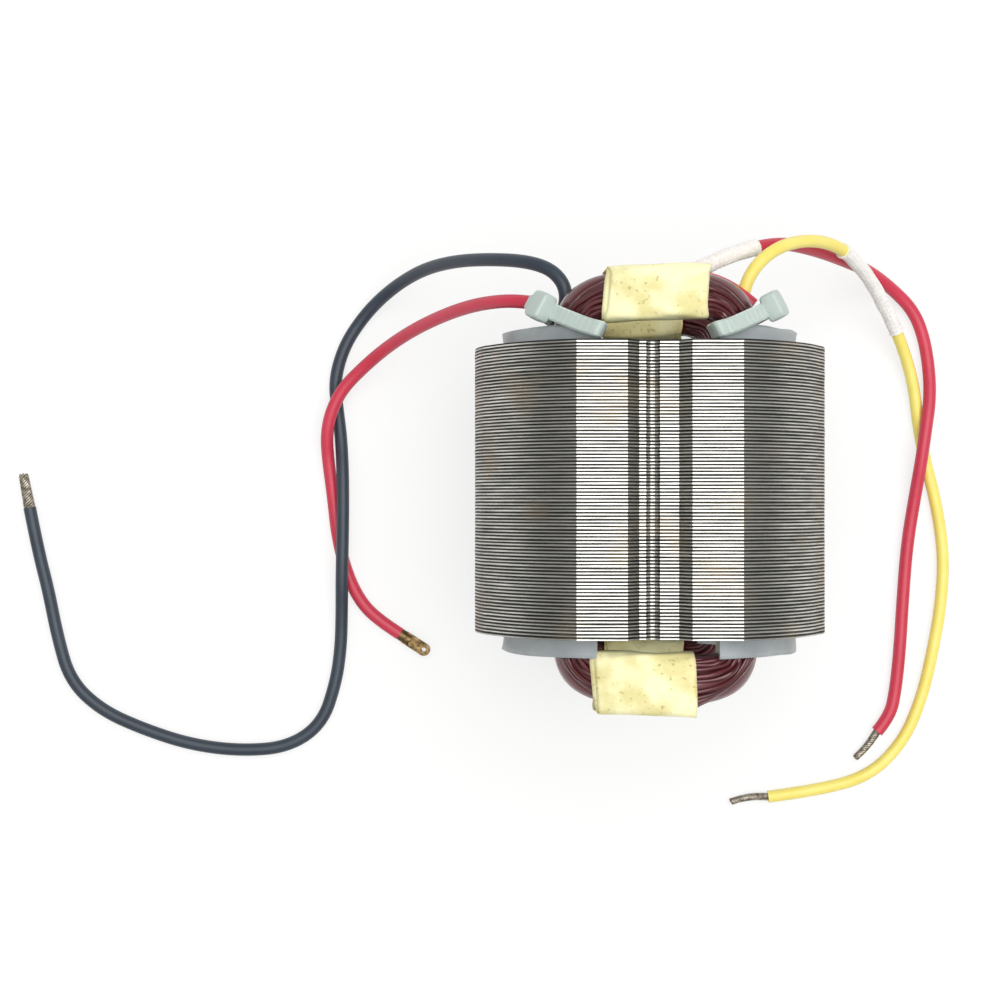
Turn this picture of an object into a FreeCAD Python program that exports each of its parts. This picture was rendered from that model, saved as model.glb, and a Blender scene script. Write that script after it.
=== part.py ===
"""Stator of a small two-pole universal motor, lying on one flat of its lamination stack.

The stack of stamped sheets lies with its bore along Y, and the leads come off the +Y end.
Each pole carries one wound coil, which runs down the two slots and round both ends.
Millimetres, +Z up. The origin is on the table, below the middle of the stack.
"""
import FreeCAD, Part
import math
import os
from FreeCAD import Vector

# ---- lamination stack, from the bore outwards ----
sheet_thickness = 0.5
sheet_count = 88
bore_radius = 15.5
shoe_thickness = 1.7          # pole shoes, between the bore and the slots
slot_depth = 5.6              # from the back of the shoes to the back of the slots
yoke_thickness = 4.2          # behind the slots, at the round sides
flat_thickness = 1.3          # behind the slots, at the two flats; the stack lies on one
pad_height = 0.25             # locating pads stand out at both sides
pad_half_height = 9.2
shoe_half_angle = 60.0        # degrees, from the middle of the pole
pole_half_width = 8.9
slot_corner = 1.0
shoe_root_corner = 0.6
shoe_tip_round = 0.45
notch_half_width = 4.7        # at the flat
notch_floor_half_width = 2.9
notch_depth = 2.0
groove_radius = 1.0           # half-round groove in the notch floor
groove_offset = 0.9
interlock_radius = 1.1        # dimples that lock each sheet to the next
interlock_depth = 0.3
interlock_in_yoke = 2.1       # from the round side to the middle of a dimple
interlock_angle = 44.0        # degrees above and below the horizontal

# ---- slot liners ----
liner_thickness = 0.25
liner_gap = 0.05
liner_overhang = 2.4          # past each end of the stack
liner_lip_angle = 57.0        # degrees, where its lips stop on the shoes

# ---- coils ----
coil_gap = 0.1                # between wire and liner
leg_width = 6.6               # of each of the two legs in the slots
head_clear = 0.9              # between the liner's end and the head
head_width = 7.6
shoulder_overhang = 3.4       # where leg and shoulder would meet, past the stack
shoulder_radius = 4.5
head_corner_half = 4.6        # where shoulder and head would meet
head_radius = 12.0
coil_edge = 1.1

# ---- tape round the coil heads ----
tape_thickness = 0.5
tape_gap = 0.05
tape_half_width = {"upper": 7.2, "lower": 6.4}

# ---- cable ties ----
strap_width = 2.5
strap_thickness = 1.0
strap_gap = 0.1
tie_head = (3.6, 4.0, 2.8)    # along the strap, across it, and out from it
tie_head_edge = 0.5
tie_inner_end = (7.9, 23.6)   # plan line of the strap, from beside the pole
tie_outer_end = (16.3, 27.2)  # to outside the coil
tie_over_leg = (11.9, 15.2)   # corners of the loop on the liner's arc, from the middle
tie_round_leg = [             # and round the leg: out from it, and down from its inner radius
    (0.1, 4.2), (-0.2, 8.5), (-1.0, 10.2), (-2.8, 10.2)]
tie_up_pole = 3.3

# ---- leads ----
lead_radius = 1.05
yellow_radius = 1.0
sleeve_gap = 0.05
sleeve_wall = 0.2
bend_share = 0.45             # of the shorter run, taken by the arc between two runs
bare_radius = 0.6
bare_length = 5.6
yellow_bare_length = 6.2
crimp_barrel_length = 2.0
crimp_length = 5.8
crimp_width = 2.1
crimp_thickness = 0.9
crimp_hole_radius = 0.35

# ---- worked out from the above ----
stack_length = sheet_thickness * sheet_count
stack_end = stack_length / 2
shoe_back_radius = bore_radius + shoe_thickness
yoke_inside_radius = shoe_back_radius + slot_depth
body_radius = yoke_inside_radius + yoke_thickness
flat_from_axis = yoke_inside_radius + flat_thickness
interlock_from_axis = body_radius - interlock_in_yoke
axis_height = flat_from_axis
pad_radius = body_radius + pad_height
liner_wall = liner_gap + liner_thickness
coil_outer_radius = yoke_inside_radius - liner_wall - coil_gap
coil_inner_radius = shoe_back_radius + liner_wall + coil_gap
coil_window = pole_half_width + liner_wall + coil_gap
coil_half_width = coil_window + leg_width
head_inner = stack_end + liner_overhang + head_clear
head_outer = head_inner + head_width
shoulder_from_centre = stack_end + shoulder_overhang
past_all = 2 * head_outer     # wider and longer than the stator, for blocks that cut it

# Route of each lead, laid out by hand from the coil to the cut end. The centre of a lead that
# lies on the table is one radius up, and it rises where it crosses another.
route_black = [
    (-14.6, 24.9, 32.5), (-13.5, 27.5, 32.9), (-13.2, 29.9, 33.4), (-14.0, 32.1, 33.2),
    (-16.0, 34.0, 32.2), (-19.6, 35.3, 29.6), (-24.7, 36.1, 24.8), (-30.1, 36.5, 19.0),
    (-35.1, 36.1, 12.2), (-39.4, 34.5, 6.6), (-43.3, 31.9, 2.8), (-46.5, 28.6, 1.2),
    (-49.4, 24.1, 1.05), (-51.0, 18.4, 1.05), (-50.4, 13.2, 1.05), (-49.8, 8.5, 1.15),
    (-49.4, 2.2, 2.9), (-49.4, -6.5, 3.25), (-49.6, -14.5, 3.2), (-49.7, -20.5, 1.6),
    (-49.9, -26.1, 1.05), (-50.7, -31.9, 1.05), (-53.0, -38.9, 1.05), (-58.7, -42.8, 1.05),
    (-66.7, -43.4, 1.05), (-74.8, -42.4, 1.05), (-82.6, -39.9, 1.05), (-90.0, -36.6, 1.05),
    (-95.2, -31.6, 1.05), (-97.3, -24.1, 1.05), (-98.8, -16.5, 1.05), (-100.5, -9.9, 1.05),
    (-101.9, -2.8, 1.05)]
route_red_left = [
    (-17.6, 28.3, 34.6), (-20.2, 28.8, 33.4), (-23.8, 29.0, 30.6), (-28.0, 28.7, 25.8),
    (-32.8, 27.6, 19.4), (-37.9, 25.7, 12.6), (-42.4, 23.2, 7.2), (-46.2, 20.2, 4.4),
    (-49.5, 16.9, 3.6), (-51.4, 13.1, 3.3), (-52.2, 9.3, 2.6), (-52.0, 5.0, 1.2),
    (-51.2, -0.8, 1.05), (-50.5, -7.6, 1.05), (-48.9, -13.9, 1.05), (-46.5, -18.7, 1.05),
    (-43.4, -21.7, 1.05), (-40.0, -23.9, 1.05)]
route_red_right = [
    (15.0, 28.0, 35.4), (12.5, 30.4, 34.8), (9.2, 32.0, 35.9), (5.2, 33.0, 36.4),
    (1.6, 33.6, 34.8), (1.8, 33.6, 31.4), (6.4, 33.8, 30.4), (12.4, 36.5, 28.6),
    (20.4, 38.9, 24.0), (27.0, 38.5, 17.0), (32.6, 37.5, 10.8), (37.6, 36.2, 6.2),
    (42.1, 33.5, 2.6), (45.7, 30.2, 1.2), (47.5, 25.9, 1.05), (48.4, 20.2, 1.2),
    (48.3, 15.2, 2.4), (47.5, 10.5, 3.15), (46.7, 4.8, 3.05), (45.9, -1.0, 1.7),
    (44.7, -9.0, 1.05), (44.0, -18.2, 1.05), (43.5, -26.6, 1.05), (42.8, -33.2, 1.05),
    (41.9, -37.6, 1.05), (39.7, -40.2, 1.05)]
route_yellow = [
    (14.6, 24.9, 32.5), (13.5, 27.6, 32.6), (13.9, 30.6, 32.7), (15.2, 33.5, 32.4),
    (17.6, 36.1, 31.2), (21.0, 38.1, 28.3), (25.4, 39.2, 24.0), (29.7, 39.1, 19.2),
    (33.6, 37.5, 14.2), (37.4, 34.1, 9.5), (40.9, 29.2, 5.5), (43.9, 23.5, 2.7),
    (45.8, 17.5, 1.5), (46.6, 11.0, 1.0), (47.7, 5.2, 1.0), (49.6, -2.0, 1.0),
    (50.9, -10.7, 1.0), (50.4, -19.1, 1.0), (48.9, -27.4, 1.0), (47.1, -34.9, 1.0),
    (44.1, -41.9, 1.0), (38.5, -47.6, 1.0), (29.9, -50.0, 1.0), (21.5, -51.1, 1.0)]
sleeve_red_span = (5.5, 7.54)        # run and part of the run, first run 0
sleeve_yellow_span = (7.5, 10.5)


# ---- shapes about the bore axis, which is lifted to its height at the end ----
def rod(radius, length):
    """A cylinder along Y, centred, with its seam underneath."""
    cylinder = Part.makeCylinder(radius, length, Vector(0, 0, -length / 2))
    cylinder.rotate(Vector(0, 0, 0), Vector(1, 0, 0), -90)
    cylinder.rotate(Vector(0, 0, 0), Vector(0, 1, 0), 90)
    return cylinder


def block(x_from, x_to, z_from, z_to, length):
    """A box from one X to another and from one Z to another, centred on Y."""
    return Part.makeBox(x_to - x_from, length, z_to - z_from, Vector(x_from, -length / 2, z_from))


def prism(outline, length):
    """An outline of (x, z) points, extruded along Y and centred."""
    points = [Vector(x, -length / 2, z) for x, z in outline]
    return Part.Face(Part.makePolygon(points + points[:1])).extrude(Vector(0, length, 0))


def pole_sector(half_angle, reach, length):
    """The wedge above the axis within half_angle of straight up."""
    side = reach * math.tan(math.radians(half_angle))
    return prism([(0, 0), (side, reach), (-side, reach)], length)


def upside_down(shape):
    return shape.mirror(Vector(0, 0, 0), Vector(0, 0, 1))


def long_edges(shape, places, near=0.3):
    """The edges along Y that pass through the given (x, z) places."""
    found = []
    for edge in shape.Edges:
        low, high = edge.BoundBox.getPoint(0), edge.BoundBox.getPoint(6)
        if abs(low.x - high.x) > near or abs(low.z - high.z) > near:
            continue
        middle = edge.BoundBox.Center
        if any(math.hypot(middle.x - x, middle.z - z) < near for x, z in places):
            found.append(edge)
    return found


def four_ways(x, z):
    return [(x, z), (-x, z), (x, -z), (-x, -z)]


def lamination_stack():
    """Every sheet has the same outline, so the pressed stack is that outline, extruded."""
    length = stack_length
    body = rod(body_radius, length)
    pads = rod(pad_radius, length).common(block(-past_all, past_all, -pad_half_height, pad_half_height, length))
    body = body.fuse(pads)
    body = body.common(block(-past_all, past_all, -flat_from_axis, flat_from_axis, length))

    neck = block(-pole_half_width, pole_half_width, 0, yoke_inside_radius, length)
    shoe = rod(shoe_back_radius, length).common(pole_sector(shoe_half_angle, past_all, length))
    pole = neck.fuse(shoe).cut(rod(bore_radius, length))
    window = rod(yoke_inside_radius, length).cut(pole).cut(upside_down(pole))
    body = body.cut(window)

    floor = flat_from_axis - notch_depth
    notch = prism([(-notch_half_width, flat_from_axis), (-notch_floor_half_width, floor),
                   (notch_floor_half_width, floor), (notch_half_width, flat_from_axis)], length)
    groove = rod(groove_radius, length)
    groove.translate(Vector(-groove_offset, 0, floor))
    notch = notch.fuse(groove.common(block(-5, 5, 0, flat_from_axis, length)))
    body = body.cut(notch).cut(upside_down(notch)).removeSplitter()

    slot_root = math.sqrt(yoke_inside_radius ** 2 - pole_half_width ** 2)
    shoe_root = math.sqrt(shoe_back_radius ** 2 - pole_half_width ** 2)
    body = body.makeFillet(slot_corner, long_edges(body, four_ways(pole_half_width, slot_root)))
    body = body.makeFillet(shoe_root_corner, long_edges(body, four_ways(pole_half_width, shoe_root)))
    side, up = math.sin(math.radians(shoe_half_angle)), math.cos(math.radians(shoe_half_angle))
    tips = four_ways(bore_radius * side, bore_radius * up)
    tips += four_ways(shoe_back_radius * side, shoe_back_radius * up)
    body = body.makeFillet(shoe_tip_round, long_edges(body, tips))

    turn = math.radians(interlock_angle)
    for x, z in four_ways(interlock_from_axis * math.cos(turn), interlock_from_axis * math.sin(turn)):
        for end in (-stack_end, stack_end - interlock_depth):
            dimple = Part.makeCylinder(interlock_radius, interlock_depth, Vector(x, end, z),
                                       Vector(0, 1, 0))
            body = body.cut(dimple)
    return body


def slot_liner(side):
    """A folded strip of paper that lines one slot: pole, back of the slot, other pole, and a lip on
    each shoe."""
    length = stack_length + 2 * liner_overhang

    def lining(inset):
        inside, back, wall = yoke_inside_radius - inset, shoe_back_radius + inset, pole_half_width + inset
        room = rod(inside, length).cut(rod(back, length)).common(block(wall, past_all, -past_all, past_all, length))
        deep, shallow = math.sqrt(inside ** 2 - wall ** 2), math.sqrt(back ** 2 - wall ** 2)
        room = room.makeFillet(slot_corner - inset, long_edges(room, [(wall, deep), (wall, -deep)]))
        return room.makeFillet(shoe_root_corner - inset,
                               long_edges(room, [(wall, shallow), (wall, -shallow)]))

    lips_off = math.radians(90 - liner_lip_angle)
    reach = shoe_back_radius + liner_wall + 0.5
    mouth = prism([(0, 0), (reach, -reach * math.tan(lips_off)),
                   (reach, reach * math.tan(lips_off))], length)
    mouth = mouth.common(rod(shoe_back_radius + liner_wall + 0.1, length))
    liner = lining(liner_gap).cut(lining(liner_wall)).cut(mouth)
    return liner if side > 0 else liner.mirror(Vector(0, 0, 0), Vector(1, 0, 0))


def bend(before, here, after, radius):
    """Start, middle and end of the arc that rounds the corner at one point."""
    to_before, to_after = (before - here).normalize(), (after - here).normalize()
    half_turn = (here - before).getAngle(after - here) / 2
    setback = radius * math.tan(half_turn)
    inward = (to_before + to_after).normalize()
    middle = here + inward * (radius / math.cos(half_turn) - radius)
    return here + to_before * setback, middle, here + to_after * setback


def rounded_outline(points, radii):
    """A closed outline with tangent arcs at its corners."""
    edges = []
    count = len(points)
    for index in range(count):
        here, radius = points[index], radii[index]
        before, after = points[index - 1], points[(index + 1) % count]
        enter, middle, leave = bend(before, here, after, radius)
        edges.append(Part.Arc(enter, middle, leave).toShape())
        following = points[(index + 2) % count]
        arrive = bend(here, after, following, radii[(index + 1) % count])[0]
        edges.append(Part.LineSegment(leave, arrive).toShape())
    return Part.Wire(edges)


def coil_outline(grow):
    """Plan outline of a coil, grown by an amount: straight legs, sloping shoulders, flat heads."""
    half, end = coil_half_width + grow, head_outer + grow
    slope = math.atan2(head_outer - shoulder_from_centre, coil_half_width - head_corner_half)
    shoulder = shoulder_from_centre + grow * math.tan(slope / 2)
    flat = head_corner_half + grow * math.tan(slope / 2)
    quarter = [(half, shoulder, shoulder_radius + grow), (flat, end, head_radius + grow)]
    corners = quarter + [(-x, y, radius) for x, y, radius in quarter[::-1]]
    corners += [(-x, -y, radius) for x, y, radius in quarter]
    corners += [(x, -y, radius) for x, y, radius in quarter[::-1]]
    outline = rounded_outline([Vector(x, y, 0) for x, y, radius in corners],
                              [radius for x, y, radius in corners])
    return Part.Face(outline)


def half_shell(inner_radius, outer_radius):
    """The upper half of a tube about the bore axis, as long as the coils and more."""
    length = 2 * head_outer + 10
    tube = rod(outer_radius, length).cut(rod(inner_radius, length))
    return tube.common(block(-past_all, past_all, liner_wall, past_all, length))


def coil_window_block(shrink):
    x, y = coil_window - shrink, head_inner - shrink
    window = Part.makeBox(2 * x, 2 * y, past_all, Vector(-x, -y, 0))
    upright = [edge for edge in window.Edges if edge.BoundBox.ZLength > past_all / 2]
    return window.makeFillet(head_clear, upright)


def coil_body(grow):
    """The wound loop, a flat ring of wire bent to a saddle about the bore, grown by an amount."""
    band = coil_outline(grow).extrude(Vector(0, 0, past_all)).cut(coil_window_block(grow))
    return band.common(half_shell(coil_inner_radius - grow, coil_outer_radius + grow))


def coil():
    body = coil_body(0)
    rims = [edge for edge in body.Edges if edge.BoundBox.XLength > 0.01 or edge.BoundBox.YLength > 0.01]
    return body.makeChamfer(coil_edge, rims)


def coil_tape(half_width, end):
    """Tape wound round one head of a coil."""
    tape = coil_body(tape_gap + tape_thickness).cut(coil_body(tape_gap))
    y_from = 0 if end > 0 else -50
    return tape.common(Part.makeBox(2 * half_width, 50, 50, Vector(-half_width, y_from, 0)))


def cable_tie(side, head_corner):
    """A strap round one leg of the upper coil and a lead beside it, with its lock head outside."""
    along = Vector(tie_outer_end[0] - tie_inner_end[0], tie_outer_end[1] - tie_inner_end[1], 0)
    along.normalize()
    across = Vector(-along.y, along.x, 0)
    start = Vector(tie_inner_end[0], tie_inner_end[1], 0)

    def place(x, z):
        return start + along * ((x - start.x) / along.x) + Vector(0, 0, z)

    # What the strap holds: the liner's arc above, the leg, and one lead under it.
    held_radius = yoke_inside_radius + strap_gap
    inner = pole_half_width - strap_width / 2 * along.y
    held = [(x, math.sqrt(held_radius ** 2 - x ** 2)) for x in (inner, *tie_over_leg)]
    held += [(coil_half_width + out, coil_inner_radius - down) for out, down in tie_round_leg]
    held.append((inner, coil_inner_radius - tie_up_pole))
    corners = [place(x, z) for x, z in held]
    outline = Part.makePolygon(corners + corners[:1])
    inside = outline.makeOffset2D(strap_gap)
    outside = outline.makeOffset2D(strap_gap + strap_thickness)
    ring = Part.Face(outside).cut(Part.Face(inside))
    ring.translate(across * (-strap_width / 2))
    ring = ring.extrude(across * strap_width)

    # The head lies against the strap at one corner of what is held.
    before, here, after = (corners[head_corner - 1], corners[head_corner],
                           corners[(head_corner + 1) % len(corners)])
    tangent = (here - before).normalize() + (after - here).normalize()
    tangent.normalize()
    outward = across.cross(tangent)
    if outward.dot(here - Part.Face(outline).CenterOfMass) < 0:
        outward = -outward
    size_along, size_across, size_out = tie_head
    head = Part.makeBox(size_along, size_across, size_out,
                        Vector(-size_along / 2, -size_across / 2, strap_gap))
    head = head.makeChamfer(tie_head_edge, head.Edges)
    turn = FreeCAD.Matrix(tangent.x, across.x, outward.x, here.x,
                          tangent.y, across.y, outward.y, here.y,
                          tangent.z, across.z, outward.z, here.z,
                          0, 0, 0, 1)
    if turn.determinant() < 0:
        head = head.mirror(Vector(0, 0, 0), Vector(0, 1, 0))
    head = head.transformGeometry(turn)
    tie = ring.fuse(head).removeSplitter()
    return tie if side > 0 else tie.mirror(Vector(0, 0, 0), Vector(1, 0, 0))


def corner_radii(points):
    """At each inner point, the largest bend that its two runs allow."""
    radii = [0]
    for before, here, after in zip(points, points[1:], points[2:]):
        run = min((here - before).Length, (after - here).Length)
        turn = (here - before).getAngle(after - here)
        radii.append(bend_share * run / math.tan(turn / 2))
    return radii + [0]


def smooth_path(points, radii):
    """Straight runs joined by tangent arcs."""
    edges = []
    last = points[0]
    for before, here, after, radius in zip(points, points[1:], points[2:], radii[1:]):
        enter, middle, leave = bend(before, here, after, radius)
        edges.append(Part.LineSegment(last, enter).toShape())
        edges.append(Part.Arc(enter, middle, leave).toShape())
        last = leave
    edges.append(Part.LineSegment(last, points[-1]).toShape())
    return Part.Wire(edges)


def sweep(path, section_radii):
    """A round bar along a path, or a tube where a second, smaller radius is given."""
    start = path.Edges[0]
    point = start.Vertexes[0].Point
    direction = start.tangentAt(start.FirstParameter)
    bars = []
    for radius in section_radii:
        circle = Part.Wire([Part.makeCircle(radius, point, direction)])
        bars.append(path.makePipeShell([circle], True, True))
    return bars[0] if len(bars) == 1 else bars[0].cut(bars[1])


def lead(name, route, radius):
    points = [Vector(*point) for point in route]
    radii = corner_radii(points)
    path = smooth_path(points, radii)
    bar = sweep(path, [radius])
    ratio = bar.Volume / (math.pi * radius ** 2 * path.Length)
    print(name, "length", round(path.Length, 1), "volume ratio", round(ratio, 4), "bends",
          [round(value, 1) for value in radii[1:-1]])
    return bar


def sleeve(route, span, radius):
    """A tube over part of a lead, between two places given as run number and part of the run."""
    points = [Vector(*point) for point in route]
    radii = corner_radii(points)
    first, last = int(span[0]), int(span[1])
    begin = points[first] + (points[first + 1] - points[first]) * (span[0] - first)
    finish = points[last] + (points[last + 1] - points[last]) * (span[1] - last)
    part = [begin] + points[first + 1:last + 1] + [finish]
    path = smooth_path(part, [0] + radii[first + 1:last + 1] + [0])
    return sweep(path, [radius + sleeve_gap + sleeve_wall, radius + sleeve_gap])


def route_end(route):
    """The cut end of a lead and the way it points."""
    last, before = Vector(*route[-1]), Vector(*route[-2])
    return last, (last - before).normalize()


def bare_end(route, length):
    """The stripped and twisted strands at the end of a lead."""
    end, direction = route_end(route)
    return Part.makeCylinder(bare_radius, length, end, direction)


def crimp_end(route):
    """A small brass tag: a barrel pressed on the strands, and a flat tongue with a hole."""
    end, direction = route_end(route)
    across = Vector(-direction.y, direction.x, 0)
    up = Vector(0, 0, 1)
    barrel = Part.makeCylinder(crimp_width / 2 - 0.05, crimp_barrel_length, end, direction)
    corner = end - across * (crimp_width / 2) - up * (crimp_thickness / 2)
    sides = [corner + direction * 0.8,
             corner + direction * (crimp_length - crimp_width / 2)]
    sides += [sides[1] + across * crimp_width, sides[0] + across * crimp_width]
    tip = (sides[1] + sides[2]) * 0.5 + direction * (crimp_width / 2)
    rim = Part.Wire([Part.LineSegment(sides[0], sides[1]).toShape(),
                     Part.Arc(sides[1], tip, sides[2]).toShape(),
                     Part.LineSegment(sides[2], sides[3]).toShape(),
                     Part.LineSegment(sides[3], sides[0]).toShape()])
    tongue = Part.Face(rim).extrude(up * crimp_thickness)
    hole_at = end + direction * (crimp_length - crimp_width / 2) - up * crimp_thickness
    hole = Part.makeCylinder(crimp_hole_radius, 3 * crimp_thickness, hole_at, up)
    return barrel.fuse(tongue).cut(hole).removeSplitter()


def lifted(shape):
    shape.translate(Vector(0, 0, axis_height))
    return shape


def build():
    parts = {"lamination_stack": lifted(lamination_stack())}
    for name, side in (("left", -1), ("right", 1)):
        parts["slot_liner_" + name] = lifted(slot_liner(side))
    upper = coil()
    parts["coil_upper"] = lifted(upper)
    parts["coil_lower"] = lifted(upside_down(coil()))
    for name, end in (("lead_end", 1), ("far_end", -1)):
        parts["tape_upper_" + name] = lifted(coil_tape(tape_half_width["upper"], end))
        parts["tape_lower_" + name] = lifted(upside_down(coil_tape(tape_half_width["lower"], end)))
    parts["cable_tie_left"] = lifted(cable_tie(-1, 2))
    parts["cable_tie_right"] = lifted(cable_tie(1, 5))

    parts["lead_black"] = lead("black", route_black, lead_radius)
    parts["lead_red_left"] = lead("red left", route_red_left, lead_radius)
    parts["lead_red_right"] = lead("red right", route_red_right, lead_radius)
    parts["lead_yellow"] = lead("yellow", route_yellow, yellow_radius)
    parts["sleeve_red"] = sleeve(route_red_right, sleeve_red_span, lead_radius)
    parts["sleeve_yellow"] = sleeve(route_yellow, sleeve_yellow_span, yellow_radius)
    parts["bare_end_black"] = bare_end(route_black, bare_length)
    parts["bare_end_red"] = bare_end(route_red_right, bare_length)
    parts["bare_end_yellow"] = bare_end(route_yellow, yellow_bare_length)
    parts["crimp_red"] = crimp_end(route_red_left)
    return parts


os.makedirs("parts", exist_ok=True)
for name, shape in build().items():
    shape.exportStep("parts/" + name + ".step")
    print(name, "solids", len(shape.Solids), "valid", shape.isValid(), "volume",
          round(shape.Volume, 2), "faces", len(shape.Faces))
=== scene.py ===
"""Dress of a universal motor's stator: every stamped sheet, wound strand, strap and lead.

Metres, in the CAD part's frame: bore along Y, resting flat on the table at z = 0, lead end +Y.
"""
import math

import bmesh
import bpy
import numpy as np
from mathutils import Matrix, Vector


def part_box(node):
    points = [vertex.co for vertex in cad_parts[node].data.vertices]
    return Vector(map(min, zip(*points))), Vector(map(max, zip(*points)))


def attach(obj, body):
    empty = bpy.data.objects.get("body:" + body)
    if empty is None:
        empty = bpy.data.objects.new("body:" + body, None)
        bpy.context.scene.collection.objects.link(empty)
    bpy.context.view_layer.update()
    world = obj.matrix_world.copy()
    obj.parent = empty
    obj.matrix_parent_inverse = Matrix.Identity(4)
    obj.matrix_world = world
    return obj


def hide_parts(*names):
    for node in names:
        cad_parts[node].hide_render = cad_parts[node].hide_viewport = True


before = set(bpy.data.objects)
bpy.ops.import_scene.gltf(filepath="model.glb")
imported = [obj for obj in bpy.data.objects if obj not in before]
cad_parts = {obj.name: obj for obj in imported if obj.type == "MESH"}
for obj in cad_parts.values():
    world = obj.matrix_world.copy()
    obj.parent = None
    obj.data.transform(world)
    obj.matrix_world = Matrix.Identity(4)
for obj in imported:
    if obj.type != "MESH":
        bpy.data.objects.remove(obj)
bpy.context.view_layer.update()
mm = 0.001

# ---- lamination stack, as the CAD part has it ----
stack_low, stack_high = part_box("lamination_stack")
axis_height = (stack_low.z + stack_high.z) / 2
flat_from_axis = (stack_high.z - stack_low.z) / 2
stack_end = stack_high.y
sheet_count = 88
body_radius = 27.0 * mm
pad_radius = stack_high.x
pad_half_height = 9.2 * mm
bore_radius = 15.5 * mm
shoe_back_radius = 17.2 * mm
yoke_inside_radius = 22.8 * mm
shoe_half_angle = 60.0
pole_half_width = 8.9 * mm
notch_half_width = 4.7 * mm
notch_floor_half_width = 2.9 * mm
notch_depth = 2.0 * mm
groove_radius = 1.0 * mm
groove_offset = 0.9 * mm
dimple_radius = 1.1 * mm
dimple_depth = 0.3 * mm
dimple_from_axis = 24.9 * mm
dimple_angle = 44.0

# ---- one sheet's edge: rolled corner, burnished band, torn band, gap ----
sheet_pitch_first = 0.488 * mm     # pressed tight at the lead end, a little loose at the far end
burnished_share = 0.47
gap_depth = 0.13 * mm
torn_depth = 0.05 * mm
edge_waver = 0.012 * mm            # of each band along the stack, and of each sheet sideways
edge_wear = 0.03 * mm

# ---- slot liners ----
liner_thickness = 0.25 * mm
liner_gap = 0.05 * mm
liner_lip_angle = 57.0
liner_overhang = {"lead": 2.4 * mm, "far": 2.9 * mm}
cut_waver = 0.1 * mm               # of the liner's cut ends, along and out from the slot
lean_at_end = 0.18 * mm

# ---- wound coils ----
wire_radius = 0.42 * mm
leg_inner, leg_outer = 9.9 * mm, 15.4 * mm
bundle_inner_radius, bundle_outer_radius = 18.1 * mm, 22.0 * mm
corner_from_middle = 3.5 * mm
stray_at = (11.5 * mm, -27.0 * mm)  # one loose wire stands out of the bundle here
stray_lift, stray_reach = 1.1 * mm, 1.6 * mm

# ---- tape round the coil heads ----
tape_thickness = 0.2 * mm
first_wrap_grow, second_wrap_grow = 0.18 * mm, 0.5 * mm     # out from the wires' centres
tape_sag, tape_edge_waver = 0.12 * mm, 0.22 * mm

# ---- cable ties ----
strap_width, strap_thickness = 2.5 * mm, 1.0 * mm
tie_head = (3.7 * mm, 4.3 * mm, 2.8 * mm)       # along the strap, across it, and out from it
tie_start = (8.1 * mm, 23.5 * mm)               # x and y where it stands beside the pole
tie_slant, tie_turn = 0.52, 2.2 * mm            # it runs along the end face, then slants away
tie_loop = [(8.9, 22.2), (10.6, 21.2), (13.2, 19.5), (15.7, 17.4), (16.9, 14.8), (17.0, 11.6),
            (16.2, 8.4), (14.6, 6.6), (12.6, 6.9), (10.6, 10.0), (9.0, 13.4), (8.4, 16.5),
            (8.4, 20.0)]                        # round what it holds: x and height, millimetres
rib_height, rib_pitch = 0.05 * mm, 0.95 * mm
tie_head_lift = 0.7 * mm
tie_tail = (0.2 * mm, 3.3 * mm)                 # the cut tail, from the middle of the head
tie_tail_lift = 0.5 * mm

# ---- leads: the CAD part's routes, with a rounder first turn in the right red one ----
lead_radius = 1.05 * mm
yellow_radius = 1.0 * mm
braid_pitch, braid_height = 1.5 * mm, 0.045 * mm
strand_radius, strand_lay = 0.27 * mm, 2.6 * mm
strand_rest = 0.75 * mm            # height of a bare bundle's middle where it lies on the table
route_black = [
    (-0.0146, 0.0249, 0.0325), (-0.0135, 0.0275, 0.0329), (-0.0132, 0.0299, 0.0334),
    (-0.014, 0.0321, 0.0332), (-0.016, 0.034, 0.0322), (-0.0196, 0.0353, 0.0296),
    (-0.0247, 0.0361, 0.0248), (-0.0301, 0.0365, 0.019), (-0.0351, 0.0361, 0.0122),
    (-0.0394, 0.0345, 0.0066), (-0.0433, 0.0319, 0.0028), (-0.0465, 0.0286, 0.0012),
    (-0.0494, 0.0241, 0.00105), (-0.051, 0.0184, 0.00105), (-0.0504, 0.0132, 0.00105),
    (-0.0498, 0.0085, 0.00115), (-0.0494, 0.0022, 0.0029), (-0.0494, -0.0065, 0.00325),
    (-0.0496, -0.0145, 0.0032), (-0.0497, -0.0205, 0.0016), (-0.0499, -0.0261, 0.00105),
    (-0.0507, -0.0319, 0.00105), (-0.053, -0.0389, 0.00105), (-0.0587, -0.0428, 0.00105),
    (-0.0667, -0.0434, 0.00105), (-0.0748, -0.0424, 0.00105), (-0.0826, -0.0399, 0.00105),
    (-0.09, -0.0366, 0.00105), (-0.0952, -0.0316, 0.00105), (-0.0973, -0.0241, 0.00105),
    (-0.0988, -0.0165, 0.00105), (-0.1005, -0.0099, 0.00105), (-0.1019, -0.0028, 0.00105)]
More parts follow.
